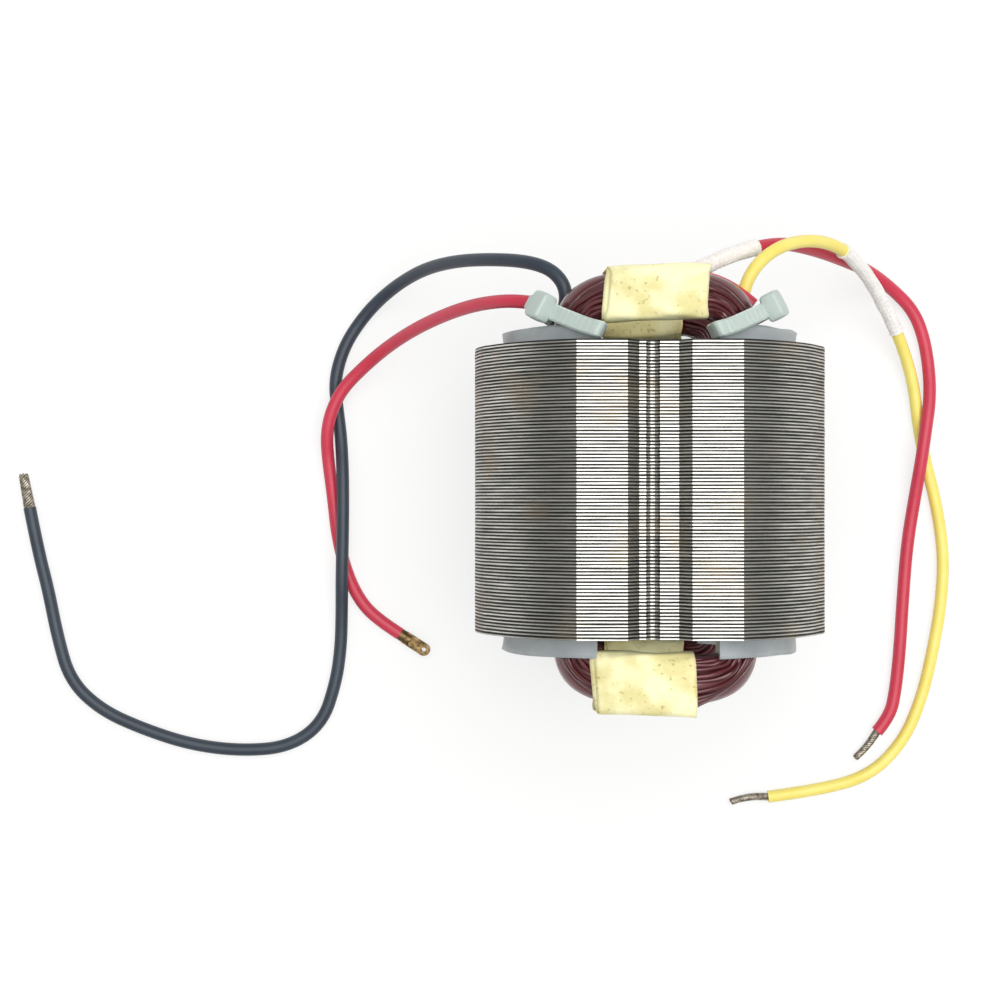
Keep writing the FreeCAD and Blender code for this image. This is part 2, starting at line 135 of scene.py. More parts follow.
route_red_left = [
    (-0.0176, 0.0283, 0.0346), (-0.0202, 0.0288, 0.0334), (-0.0238, 0.029, 0.0306),
    (-0.028, 0.0287, 0.0258), (-0.0328, 0.0276, 0.0194), (-0.0379, 0.0257, 0.0126),
    (-0.0424, 0.0232, 0.0072), (-0.0462, 0.0202, 0.0044), (-0.0495, 0.0169, 0.0036),
    (-0.0514, 0.0131, 0.0033), (-0.0522, 0.0093, 0.0026), (-0.052, 0.005, 0.0012),
    (-0.0512, -0.0008, 0.00105), (-0.0505, -0.0076, 0.00105), (-0.0489, -0.0139, 0.00105),
    (-0.0465, -0.0187, 0.00105), (-0.0434, -0.0217, 0.00105), (-0.04, -0.0239, 0.00105)]
route_red_right = [
    (0.015, 0.028, 0.0354), (0.0125, 0.0302, 0.035), (0.0092, 0.0317, 0.0356), (0.0062, 0.0322, 0.0362),
    (0.0032, 0.0323, 0.036), (0.001, 0.0323, 0.0342), (0.0008, 0.0324, 0.0316),
    (0.0028, 0.0327, 0.0298), (0.0066, 0.0337, 0.0298),
    (0.0124, 0.0365, 0.0286), (0.0204, 0.0389, 0.024), (0.027, 0.0385, 0.017), (0.0326, 0.0375, 0.0108),
    (0.0376, 0.0362, 0.0062), (0.0421, 0.0335, 0.0026), (0.0457, 0.0302, 0.0012),
    (0.0475, 0.0259, 0.00105), (0.0484, 0.0202, 0.0012), (0.0483, 0.0152, 0.0024),
    (0.0475, 0.0105, 0.00315), (0.0467, 0.0048, 0.00305), (0.0459, -0.001, 0.0017),
    (0.0447, -0.009, 0.00105), (0.044, -0.0182, 0.00105), (0.0435, -0.0266, 0.00105),
    (0.0428, -0.0332, 0.00105), (0.0419, -0.0376, 0.00105), (0.0397, -0.0402, 0.00105)]
route_yellow = [
    (0.0146, 0.0249, 0.0325), (0.0135, 0.0276, 0.0326), (0.0139, 0.0306, 0.0327),
    (0.0152, 0.0335, 0.0324), (0.0176, 0.0361, 0.0312), (0.021, 0.0381, 0.0283),
    (0.0254, 0.0392, 0.024), (0.0297, 0.0391, 0.0192), (0.0336, 0.0375, 0.0142),
    (0.0374, 0.0341, 0.0095), (0.0409, 0.0292, 0.0055), (0.0439, 0.0235, 0.0027),
    (0.0458, 0.0175, 0.0015), (0.0466, 0.011, 0.001), (0.0477, 0.0052, 0.001), (0.0496, -0.002, 0.001),
    (0.0509, -0.0107, 0.001), (0.0504, -0.0191, 0.001), (0.0489, -0.0274, 0.001),
    (0.0471, -0.0349, 0.001), (0.0441, -0.0419, 0.001), (0.0385, -0.0476, 0.001),
    (0.0299, -0.05, 0.001), (0.0215, -0.0511, 0.001)]

# ---- coil heads: where each end's wires and tapes lie ----
head_span = {"lead": (25.6 * mm, 32.6 * mm), "far": (24.5 * mm, 32.7 * mm)}
corner_start = 22.6 * mm           # where the wires leave the slot and start to turn


def linear(code):
    """A colour written as six hex digits, as Blender's linear red, green, blue and alpha."""
    values = [int(code[place:place + 2], 16) / 255 for place in (0, 2, 4)]
    return [v / 12.92 if v <= 0.04045 else ((v + 0.055) / 1.055) ** 2.4 for v in values] + [1.0]


def add_node(tree, kind, inputs=None, **settings):
    """A node with its settings; each input gets a value or a link from another node's output."""
    made = tree.nodes.new(kind)
    for key, value in settings.items():
        setattr(made, key, value)
    for key, value in (inputs or {}).items():
        if isinstance(value, bpy.types.NodeSocket):
            tree.links.new(value, made.inputs[key])
        else:
            made.inputs[key].default_value = value
    return made


def start_material(name, sockets):
    """A material with one Principled shader, and the piece's own coordinates in metres."""
    material = bpy.data.materials.new(name)
    material.use_nodes = True
    tree = material.node_tree
    shader = tree.nodes["Principled BSDF"]
    for key, value in sockets.items():
        shader.inputs[key].default_value = value
    place = add_node(tree, "ShaderNodeTexCoord").outputs["Object"]
    return material, tree, shader, place


# ---- surfaces ----
def unit(vectors):
    """Each vector divided by its own length."""
    return vectors / np.maximum(np.linalg.norm(vectors, axis=-1, keepdims=True), 1e-12)


def ripple(seed, *places):
    """A smooth uneven field between -1 and 1: the mean of six sine waves across the places, whose
    lengths (about one unit) and phases are drawn from the seed."""
    draw = np.random.default_rng(seed)
    total = 0.0
    for wave in range(6):
        phase = sum(place * draw.uniform(0.4, 1.6) * draw.choice([-1, 1]) for place in places)
        total = total + np.sin(2 * np.pi * (phase + draw.uniform()))
    return total / 3


def grid_faces(rows, columns, loop_rows=False, loop_columns=False):
    """Quads between neighbouring rows and columns of a grid of points, numbered row by row."""
    row = np.arange(rows if loop_rows else rows - 1)[:, None]
    column = np.arange(columns if loop_columns else columns - 1)[None, :]
    corners = np.broadcast_arrays(
        row * columns + column, row * columns + (column + 1) % columns,
        (row + 1) % rows * columns + (column + 1) % columns, (row + 1) % rows * columns + column)
    return np.stack(corners, axis=-1).reshape(-1, 4)


def add_piece(name, points, faces, materials, sharp=40.0, indices=None):
    """A smooth mesh whose edges sharper than an angle stay sharp, riding on the one body."""
    mesh = bpy.data.meshes.new(name)
    mesh.from_pydata(np.reshape(points, (-1, 3)).tolist(), [], faces)
    for material in materials:
        mesh.materials.append(material)
    if indices is not None:
        mesh.polygons.foreach_set("material_index", indices)
    mesh.shade_smooth()
    mesh.set_sharp_from_angle(angle=math.radians(sharp))
    mesh.update()
    piece = bpy.data.objects.new(name, mesh)
    bpy.context.scene.collection.objects.link(piece)
    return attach(piece, "root")


def ends_of(lines, closed):
    """The points after and before each point of every line."""
    if closed:
        return np.roll(lines, -1, axis=1), np.roll(lines, 1, axis=1)
    first = 2 * lines[:, :1] - lines[:, 1:2]
    last = 2 * lines[:, -1:] - lines[:, -2:-1]
    return np.concatenate([lines[:, 1:], last], axis=1), np.concatenate([first, lines[:, :-1]], axis=1)


def swept(lines, section, up, closed=False):
    """A section carried along many lines at once: centre + side * across + rise * out, where side
    is square to the line and to up, and rise is square to both. Gives points and faces."""
    lines = np.asarray(lines, float)
    after, before = ends_of(lines, closed)
    tangent = unit(after - before)
    side = unit(np.cross(np.broadcast_to(up, lines.shape), tangent))
    rise = np.cross(tangent, side)
    strands, stations = lines.shape[:2]
    section = np.broadcast_to(section, (strands, stations) + np.shape(section)[-2:])
    points = (lines[:, :, None] + side[:, :, None] * section[..., :1]
              + rise[:, :, None] * section[..., 1:])
    corners = section.shape[2]
    one = grid_faces(stations, corners, loop_rows=closed, loop_columns=True)
    first = np.arange(strands)[:, None, None] * stations * corners
    faces = (one[None] + first).reshape(-1, 4).tolist()
    if not closed:
        ring = np.arange(corners)
        for start in first.ravel():
            faces.append((start + ring[::-1]).tolist())
            faces.append((start + (stations - 1) * corners + ring).tolist())
    return points.reshape(-1, 3), faces


def circle(radius, sides=10):
    """A round section, anticlockwise."""
    turn = 2 * np.pi * np.arange(sides) / sides
    return np.stack([np.cos(turn), np.sin(turn)], axis=-1) * radius


def arc(radius, start, finish, count, centre=(0.0, 0.0)):
    """Points round a centre from one angle to another, in degrees, without the last."""
    turn = np.radians(np.linspace(start, finish, count, endpoint=False))
    return np.stack([np.cos(turn), np.sin(turn)], axis=-1) * radius + np.array(centre)


def run(start, finish, count):
    """Points along a straight line, without the last."""
    share = np.linspace(0, 1, count, endpoint=False)[:, None]
    return np.array(start) * (1 - share) + np.array(finish) * share


# ---- lamination stack ----
def sheet_outside():
    """Outside of a sheet, anticlockwise in x and z: round side with its pad, flat, notch with its
    groove, flat, and the same on the other side."""
    flat_angle = math.degrees(math.asin(flat_from_axis / body_radius))
    pad_angle = math.degrees(math.asin(pad_half_height / body_radius))
    flat_half = math.sqrt(body_radius ** 2 - flat_from_axis ** 2)
    floor = flat_from_axis - notch_depth
    flat_end, notch_end = (flat_half, flat_from_axis), (notch_half_width, flat_from_axis)
    side = np.concatenate([arc(body_radius, -flat_angle, -pad_angle, 14),
                           arc(pad_radius, -pad_angle, pad_angle, 12),
                           arc(body_radius, pad_angle, flat_angle, 14)])
    top = np.concatenate([
        run(flat_end, notch_end, 6),
        run(notch_end, (notch_floor_half_width, floor), 2),
        run((notch_floor_half_width, floor), (groove_radius - groove_offset, floor), 3),
        arc(groove_radius, 0, -180, 10, centre=(-groove_offset, floor)),
        run((-groove_offset - groove_radius, floor), (-notch_floor_half_width, floor), 2),
        run((-notch_floor_half_width, floor), (-notch_half_width, flat_from_axis), 2),
        run((-notch_half_width, flat_from_axis), (-flat_half, flat_from_axis), 6),
        [(-flat_half, flat_from_axis)]])
    bottom = top[::-1] * [1, -1]
    return np.concatenate([side, top[:-1], -side, bottom[:-1]])


def sheet_inside():
    """The opening of a sheet: bore, two pole shoes and two slots as one loop, made of a quarter
    that is mirrored three times."""
    shoe = math.degrees(math.acos(pole_half_width / shoe_back_radius))
    slot = math.degrees(math.acos(pole_half_width / yoke_inside_radius))
    tip = 90 + shoe_half_angle
    neck_low = (-pole_half_width, math.sqrt(shoe_back_radius ** 2 - pole_half_width ** 2))
    neck_high = (-pole_half_width, math.sqrt(yoke_inside_radius ** 2 - pole_half_width ** 2))
    quarter = np.concatenate([
        arc(bore_radius, 90, tip, 14),
        run(arc(bore_radius, tip, 180, 1)[0], arc(shoe_back_radius, tip, 180, 1)[0], 2),
        arc(shoe_back_radius, tip, 180 - shoe, 7),
        run(neck_low, neck_high, 3),
        arc(yoke_inside_radius, 180 - slot, 180, 14),
        [(-yoke_inside_radius, 0.0)]])
    return np.concatenate([quarter[:-1], (quarter * [1, -1])[:0:-1], -quarter[:-1],
                           (quarter * [-1, 1])[:0:-1]])


def inset(outline, depth):
    """The outline moved in by depth, each point along the mean normal of its two sides."""
    side = np.roll(outline, -1, axis=0) - outline
    normal = unit(np.stack([side[:, 1], -side[:, 0]], axis=-1))
    mean = unit(normal + np.roll(normal, 1, axis=0))
    return outline - mean * depth[..., None]


def sheet_rows(shares, depths, outline, seed):
    """Rows of points along the stack: at each share of every sheet's pitch the outline, moved in by
    that row's depth. Sheets are shifted and their bands waver a little."""
    draw = np.random.default_rng(seed)
    length = 2 * stack_end
    mean = length / sheet_count
    pitch = np.linspace(2 * mean - sheet_pitch_first, sheet_pitch_first, sheet_count)
    start = -stack_end + np.concatenate([[0], np.cumsum(pitch)[:-1]])
    rows = np.array(shares)[None, :] + np.zeros((sheet_count, 1))
    inner = (rows > 0.2) & (rows < 0.8)
    rows = rows + inner * draw.uniform(-0.07, 0.07, (sheet_count, 1))
    y = start[:, None] + rows * pitch[:, None]
    columns = np.arange(len(outline)) / 9
    waver = ripple(seed, columns[None, :], np.arange(sheet_count)[:, None] * 0.37) * edge_waver
    y = y[:, :, None] + waver[:, None, :] * inner[:, :, None]
    depth = np.array(depths)[None, :, None] + draw.uniform(0, 1, (sheet_count, 1, 1)) * edge_wear
    depth = np.broadcast_to(depth, y.shape)
    flat = inset(outline, depth)
    flat = flat + draw.normal(0, 1, (sheet_count, 1, 1, 2)) * edge_waver
    return np.stack([flat[..., 0], y, flat[..., 1] + axis_height], axis=-1).reshape(
        -1, len(outline), 3)


def closing_row(points, y, outline, depth):
    """One more row at the end of the stack."""
    flat = inset(outline, np.full(len(outline), depth))
    last = np.stack([flat[:, 0], np.full(len(outline), y), flat[:, 1] + axis_height], axis=-1)
    return np.concatenate([points, last[None]])


def lamination_stack(materials):
    """Both long surfaces are grids of rows along the stack. The two end faces are filled between
    the outside, the opening and the rims of four dimples."""
    outside, inside = sheet_outside(), sheet_inside()
    outer = sheet_rows((0, 0.06, burnished_share, 0.94), (gap_depth, 0, 0, torn_depth), outside, 3)
    outer = closing_row(outer, stack_end, outside, gap_depth)
    inner = sheet_rows((0, 0.5), (-torn_depth, 0), inside, 4)
    inner = closing_row(inner, stack_end, inside, 0)
    outer[0, :, 1] = inner[0, :, 1] = -stack_end
    outer_faces = grid_faces(len(outer), len(outside), loop_columns=True)[:, ::-1]
    inner_faces = grid_faces(len(inner), len(inside), loop_columns=True) + outer.size // 3
    band = np.repeat(np.arange(len(outer) - 1) % 4, len(outside))
    # Every row off the burnished band takes the second, near-black material, the gap faces between sheets
    # among them: painted shade in the gaps.
    indices = [(band != 1).astype(int), np.repeat(np.arange(len(inner) - 1) % 2, len(inside))]

    rims, rim_faces, count = [], [], 20
    first = (outer.size + inner.size) // 3
    for end in (-1, 1):
        for x, z in ((1, 1), (1, -1), (-1, 1), (-1, -1)):
            turn = math.radians(dimple_angle)
            middle = np.array([x * dimple_from_axis * math.cos(turn),
                               z * dimple_from_axis * math.sin(turn)])
            ring = arc(dimple_radius, 0, 360 * end, count, centre=middle)
            for depth in (0, dimple_depth):
                y = np.full(count, end * (stack_end - depth))
                rims.append(np.stack([ring[:, 0], y, ring[:, 1] + axis_height], axis=-1))
            start = first + (len(rims) - 2) * count
            rim_faces += (grid_faces(2, count, loop_columns=True) + start).tolist()
            rim_faces.append((start + count + np.arange(count)).tolist())
    faces = outer_faces.tolist() + inner_faces.tolist() + rim_faces
    indices.append(np.full(len(rim_faces), 2))
    points = np.concatenate([outer.reshape(-1, 3), inner.reshape(-1, 3), *rims])
    piece = add_piece("stamped_sheets", points, faces, materials, sharp=14,
                      indices=np.concatenate(indices).astype(np.int32))

    shell = bmesh.new()
    shell.from_mesh(piece.data)
    for end in (-1, 1):
        border = [edge for edge in shell.edges if edge.is_boundary
                  and min(vert.co.y * end for vert in edge.verts) > stack_end - torn_depth]
        filled = bmesh.ops.triangle_fill(shell, use_beauty=True, edges=border, normal=(0, end, 0))
        for face in filled["geom"]:
            if isinstance(face, bmesh.types.BMFace):
                face.material_index = 2
    shell.to_mesh(piece.data)
    shell.free()
    piece.data.shade_smooth()
    piece.data.set_sharp_from_angle(angle=math.radians(14))
    return piece


# ---- slot liners ----
def liner_profile():
    """Middle of a right-hand liner's wall in x and z: lip on the lower shoe, pole, back of the
    slot, pole and lip on the upper shoe."""
    off = liner_gap + liner_thickness / 2
    back, inside, wall = shoe_back_radius + off, yoke_inside_radius - off, pole_half_width + off
    lip = 90 - liner_lip_angle
    shoe = math.degrees(math.acos(wall / back))
    slot = math.degrees(math.acos(wall / inside))
    neck_low = (wall, math.sqrt(back ** 2 - wall ** 2))
    neck_high = (wall, math.sqrt(inside ** 2 - wall ** 2))
    upper = np.concatenate([arc(inside, 0, slot, 26), run(neck_high, neck_low, 7),
                            arc(back, shoe, lip, 9)])
    return np.concatenate([(upper * [1, -1])[:0:-1], upper])


def slot_liner(name, side, seed, materials):
    """The profile carried along y. Past the stack its ends waver in length, lean outwards a
    little and ripple like cut paper."""
    profile = liner_profile()
    along = np.concatenate([[-1.0, -0.72, -0.45, -0.2], [0.0], np.linspace(0.1, 0.9, 5), [1.0],
                            [1.2, 1.45, 1.72, 2.0]])
    past = np.where(along < 0, along, np.where(along > 1, along - 1, 0))[:, None]
    place = np.arange(len(profile))[None, :] / 14
    waver = ripple(seed, place, past * 0.1)
    y = (np.clip(along, 0, 1)[:, None] * 2 - 1) * stack_end
    reach = np.where(past < 0, liner_overhang["far"], liner_overhang["lead"]) + cut_waver * waver
    y = y + past * reach
    radius = np.linalg.norm(profile, axis=-1)[None, :]
    out = profile[None] / radius[..., None]
    lean = np.where(radius > 0.97 * yoke_inside_radius, lean_at_end, 0.0) * past ** 2
    dent = ripple(seed + 1, place * 1.4, past) * cut_waver * np.abs(past)
    flat = profile[None] + out * (lean + dent)[..., None]
    points = np.stack([flat[..., 0] * side, np.broadcast_to(y, flat.shape[:2]),
                       flat[..., 1] + axis_height], axis=-1)
    faces = grid_faces(len(along), len(profile))
    piece = add_piece(name, points, faces.tolist() if side < 0 else faces[:, ::-1].tolist(),
                      materials, sharp=50)
    wall = piece.modifiers.new("paper", "SOLIDIFY")
    wall.thickness = liner_thickness
    wall.offset = 0.0
    return piece


# ---- wound coils ----
def wire_lines(across, through, seed, loose=0.1 * mm):
    """Closed wires of a saddle coil. Each runs up one slot, turns a corner that is a quarter of a
    superellipse, crosses the head and comes back. across and through, 0 to 1, are its places over
    the width and the depth of the bundle; z follows from its distance to the bore axis."""
    across, through = np.asarray(across, float)[:, None], np.asarray(through, float)[:, None]
    leg = leg_inner + (leg_outer - leg_inner) * across
    power = 2 / (4.2 - 2.8 * across)
    turn = np.linspace(0, np.pi / 2, 15)[None, :-1]
    corners = {}
    for name, (near, out) in head_span.items():
        head = near + wire_radius + (out - near - 2 * wire_radius) * across
        corners[name] = (
            corner_from_middle + (leg - corner_from_middle) * np.cos(turn) ** power,
            corner_start + (head - corner_start) * np.sin(turn) ** power, head)
    straight = np.linspace(0, 1, 9)[None, :-1]
    level = np.linspace(0, 1, 13)[None, :-1]
    ones = np.ones_like(across)
    x, y = [], []
    for side, name, sign in ((1, "lead", 1), (-1, "far", -1)):
        corner_x, corner_y, head = corners[name]
        x += [side * leg * np.ones_like(level), side * corner_x,
              side * corner_from_middle * (1 - 2 * straight) * ones,
              -side * corner_x[:, ::-1]]
        y += [sign * corner_start * (2 * level - 1) * ones, sign * corner_y,
              sign * head * np.ones_like(straight), sign * corner_y[:, ::-1]]
    x, y = np.concatenate(x, axis=1), np.concatenate(y, axis=1)
    stations = x.shape[1]
    where = np.arange(stations)[None, :] / stations * 11
    strand = np.arange(len(across))[:, None] * 0.7
    free = np.clip((np.abs(y) - stack_end) / (3 * mm), 0, 1)
    x = x + loose * free * ripple(seed, where, strand)
    y = y + loose * free * ripple(seed + 1, where, strand)
    radius = (bundle_inner_radius + (bundle_outer_radius - bundle_inner_radius) * through
              + loose * free * ripple(seed + 2, where, strand))
    z = np.sqrt(np.maximum(radius ** 2 - x ** 2, (4 * mm) ** 2))
    return np.stack([x, y, z], axis=-1)


def bundle_places(columns, layers):
    """Places of the wires on the rim of a rounded bundle, across and through it."""
    count = 2 * (columns + layers) - 4
    turn = 2 * np.pi * (np.arange(count) + 0.5) / count
    across, through = np.cos(turn), np.sin(turn)
    across = 0.5 + 0.5 * np.sign(across) * np.abs(across) ** 0.55
    through = 0.5 + 0.5 * np.sign(through) * np.abs(through) ** 0.5
    return across, through


def coil(name, side, seed, materials):
    """The wires on the rim of the bundle, one stray wire across them, and a dark core behind."""
    across, through = bundle_places(9, 5)
    lines = wire_lines(across, through, seed)
    stray = wire_lines([0.45], [0.93], seed + 5, loose=0.2 * mm)
    off = np.hypot(stray[..., 0] - stray_at[0], stray[..., 1] - stray_at[1])
    stray[..., 2] += stray_lift * np.exp(-(off / stray_reach) ** 2)
    lines = np.concatenate([lines, stray])
    upward = lines * [1, 0, 1]
    points, faces = swept(lines, circle(wire_radius, 8), unit(upward), closed=True)
    core = wire_lines([0.5], [0.5], seed, loose=0)
    depth = (bundle_outer_radius - bundle_inner_radius) / 2
    width = (head_span["lead"][1] - head_span["lead"][0]) / 2 - wire_radius
    core_points, core_faces = swept(core, circle(1.0, 16) * [width, depth], unit(core * [1, 0, 1]),
                                    closed=True)
    ring_points = [lines.shape[1] * 8] * len(lines) + [len(core_points)]
    strand = np.repeat(np.arange(len(lines) + 1), ring_points)
    faces = np.concatenate([faces, np.array(core_faces) + len(points)])
    points = np.concatenate([points, core_points])
    points = points * [1, 1, side] + [0, 0, axis_height]
    if side < 0:
        faces = faces[:, ::-1]
    piece = add_piece(name, points, faces.tolist(), materials, sharp=80)
    mark = piece.data.attributes.new("strand", "FLOAT", "POINT")
    mark.data.foreach_set("value", strand.astype(np.float32))
    return piece


# ---- tape round the coil heads ----
def coil_tape(name, side, end, span, skew, seed, materials):
    """Two wraps of tape round a head. The section is a superellipse in y and in distance from the
    bore axis; it is carried across x, and x, y lean and waver a little as hand-wound tape does."""
    near, out = head_span[end]
    sign = 1 if end == "lead" else -1
    turn = 2 * np.pi * np.arange(64)[None, :] / 64
    wave = np.arange(64)[None, :] / 16
    layers, faces = [], []
    for layer, (start, finish, grow) in enumerate(((span[0] - 0.5 * mm, span[1] - 0.2 * mm, first_wrap_grow),
                                                   (span[0], span[1], second_wrap_grow))):
        share = np.linspace(0, 1, 30)[:, None]
        half_y = (out - near) / 2 + grow - 0.15 * mm
        half_r = (bundle_outer_radius - bundle_inner_radius) / 2 + wire_radius + grow
        corner = 2 / 5.5
        across = np.sign(np.cos(turn)) * np.abs(np.cos(turn)) ** corner
        through = np.sign(np.sin(turn)) * np.abs(np.sin(turn)) ** corner
        sag = ripple(seed + layer, share * 1.3, wave) * tape_sag
        y = (near + out) / 2 + (half_y + sag) * across
        radius = (bundle_outer_radius + bundle_inner_radius) / 2 + (half_r + sag) * through
        edge = ripple(seed + 7 + layer, wave * 0.6) * tape_edge_waver * (2 * share - 1)
        x = start + (finish - start) * share + edge + skew[0] * (y - near)
        y = sign * (y + skew[1] * x)
        z = np.sqrt(np.maximum(radius ** 2 - x ** 2, 0))
        layers.append(np.stack(np.broadcast_arrays(x, y, side * z + axis_height), axis=-1))
        faces.append(grid_faces(30, 64, loop_columns=True) + layer * 30 * 64)
    faces = np.concatenate(faces)
    if sign * side > 0:
        faces = faces[:, ::-1]
    piece = add_piece(name, np.stack(layers), faces.tolist(), materials, sharp=60)
    wall = piece.modifiers.new("tape", "SOLIDIFY")
    wall.thickness = tape_thickness
    wall.offset = -1.0
    return piece


# ---- cable ties ----
def smooth_loop(points, count):
    """A closed Catmull-Rom line through points: between two of them the usual cubic of the share."""
    points = np.asarray(points, float)
    place = np.arange(len(points) * count) / count
    first = place.astype(int)
    share = (place - first)[:, None]
    before, here, after, beyond = (points[(first + step) % len(points)] for step in (-1, 0, 1, 2))
    return 0.5 * (2 * here + (after - before) * share
                  + (2 * before - 5 * here + 4 * after - beyond) * share ** 2
                  + (3 * here - before - 3 * after + beyond) * share ** 3)


def cable_tie(name, side, head_at, materials):
    """A strap carried round what it holds, with fine cross ribs, a rounded lock head and a cut
    tail. The loop is given in x and height over the bore axis, and y follows x along a hyperbola
    that leaves the end face. head_at counts the loop's points."""
    line = smooth_loop(np.array(tie_loop) * mm, 16)
    from_pole = line[:, 0] - tie_start[0]
    plan = tie_start[1] + tie_slant * (np.hypot(from_pole, tie_turn) - tie_turn)
    path = np.stack([line[:, 0], plan, line[:, 1]], axis=-1)
    step = np.linalg.norm(np.roll(path, -1, axis=0) - path, axis=-1)
    along = np.concatenate([[0], np.cumsum(step)[:-1]])
    across = unit(np.array([-tie_slant, 1.0, 0.0]))
    rib = rib_height * (np.cos(2 * np.pi * along / rib_pitch) > 0)
    half, thick = strap_width / 2, strap_thickness / 2
    corner = 0.25 * mm
    section = np.array([(half - corner, -thick), (half, -thick + corner), (half, thick - corner),
                        (half - corner, thick), (-half + corner, thick), (-half, thick - corner),
                        (-half, -thick + corner), (-half + corner, -thick)])
    # The section is laid across the strap first and out from the loop second.
    after, before = np.roll(path, -1, axis=0), np.roll(path, 1, axis=0)
    tangent = unit(after - before)
    out = unit(np.cross(tangent, np.broadcast_to(across, tangent.shape)))
    outward = np.sign(np.sum(out * (path - path.mean(axis=0)), axis=-1, keepdims=True).sum())
    out = out * outward
    grow = 1 + (rib[:, None] / thick) * (section[None, :, 1] > 0)
    points = (path[:, None] + across * section[None, :, :1]
              + out[:, None] * (section[None, :, 1] * grow)[..., None])
    faces = grid_faces(len(path), 8, loop_rows=True, loop_columns=True)
    if outward > 0:
        faces = faces[:, ::-1]

    # The lock head is a superellipsoid box with a flat mouth where the strap's end comes out.
    place = round(head_at * 16)
    middle, direction, rise = path[place], tangent[place], out[place]
    lat = np.linspace(-np.pi / 2, np.pi / 2, 15)[:, None]
    lon = (2 * np.pi * np.arange(32) / 32)[None, :]

    def bow(value, power=0.35):
        return np.sign(value) * np.abs(value) ** power

    box = np.stack(np.broadcast_arrays(bow(np.cos(lat)) * bow(np.cos(lon)),
                                       bow(np.cos(lat)) * bow(np.sin(lon)), bow(np.sin(lat))), axis=-1)
    size = np.array(tie_head) / 2
    head = (middle + rise * (thick + tie_head_lift) + (box[..., :1] * size[0]) * direction
            + (box[..., 1:2] * size[1]) * across + (box[..., 2:] * size[2]) * rise)
    head_faces = grid_faces(15, 32, loop_columns=True)
    if np.dot(np.cross(direction, across), rise) < 0:
        head_faces = head_faces[:, ::-1]
    # The cut tail stands out of the head along the strap.
    tail_line = (middle + rise * (2 * thick + tie_tail_lift)
                 + direction * np.linspace(*tie_tail, 8)[:, None])
    tail, tail_faces = swept(tail_line[None], section * [0.92, 0.9], rise)
    all_faces = (faces.tolist() + (head_faces + points.size // 3).tolist()
                 + [[v + points.size // 3 + head.size // 3 for v in face] for face in tail_faces])
    all_points = np.concatenate([points.reshape(-1, 3), head.reshape(-1, 3), tail])
    if side < 0:
        all_faces = [face[::-1] for face in all_faces]
    all_points = all_points * [side, 1, 1] + [0, 0, axis_height]
    return add_piece(name, all_points, all_faces, materials, sharp=35)


# ---- leads ----
def add_lead(name, route, radius, material):
    """A smooth bent bar: a NURBS line drawn by the route's points, with a round section."""
    data = bpy.data.curves.new(name, "CURVE")
    data.dimensions = "3D"
    spline = data.splines.new("NURBS")
    spline.points.add(len(route) - 1)
    spline.points.foreach_set("co", [value for point in route for value in (*point, 1.0)])
    spline.order_u = 3
    spline.use_endpoint_u = True
    data.resolution_u = 12
    data.bevel_depth = radius
    data.bevel_resolution = 6
    data.use_fill_caps = True
    data.materials.append(material)
    piece = bpy.data.objects.new(name, data)
    bpy.context.scene.collection.objects.link(piece)
    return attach(piece, "root")


def line_of(lead):
    """Points along a lead's own spline, read from a copy that has no thickness."""
    bare = bpy.data.objects.new("bare", lead.data.copy())
    bare.data.bevel_depth = 0
    bpy.context.scene.collection.objects.link(bare)
    bpy.context.view_layer.update()
    mesh = bpy.data.meshes.new_from_object(bare.evaluated_get(bpy.context.evaluated_depsgraph_get()))
    line = np.empty(len(mesh.vertices) * 3)
    mesh.vertices.foreach_get("co", line)
    bpy.data.objects.remove(bare)
    return line.reshape(-1, 3)


def stretch_of(line, start, finish, count):
    """Even points of a line between the places nearest to two points."""
    step = np.linalg.norm(np.diff(line, axis=0), axis=-1)
    along = np.concatenate([[0], np.cumsum(step)])
    low, high = (along[np.argmin(np.linalg.norm(line - np.array(p), axis=-1))] for p in (start, finish))
    places = np.linspace(low, high, count)
    return np.stack([np.interp(places, along, line[:, axis]) for axis in range(3)], axis=-1)


def braided_sleeve(name, line, start, finish, radius, material):
    """A tube whose radius rises where two sets of threads cross: the product of two slanting
    cosine waves, round and along."""
    path = stretch_of(line, start, finish, 260)
    sides = 48
    step = np.linalg.norm(np.diff(path, axis=0), axis=-1)
    along = np.concatenate([[0], np.cumsum(step)])[:, None]
    turn = 2 * np.pi * np.arange(sides)[None, :] / sides
    slant = 2 * np.pi * along / braid_pitch
    weave = np.cos(6 * turn + slant) * np.cos(6 * turn - slant)
    uneven = ripple(11, along / (6 * mm), turn / 3) * 0.05 * mm
    ends = 0.12 * mm * np.exp(-np.minimum(along, along[-1] - along) / (0.5 * mm))
    ring = radius + braid_height * weave + uneven + ends
    section = np.stack([np.cos(turn) * ring, np.sin(turn) * ring], axis=-1)
    points, faces = swept(path[None], section[None], (0, 0, 1))
    return add_piece(name, points, faces, [material], sharp=70)


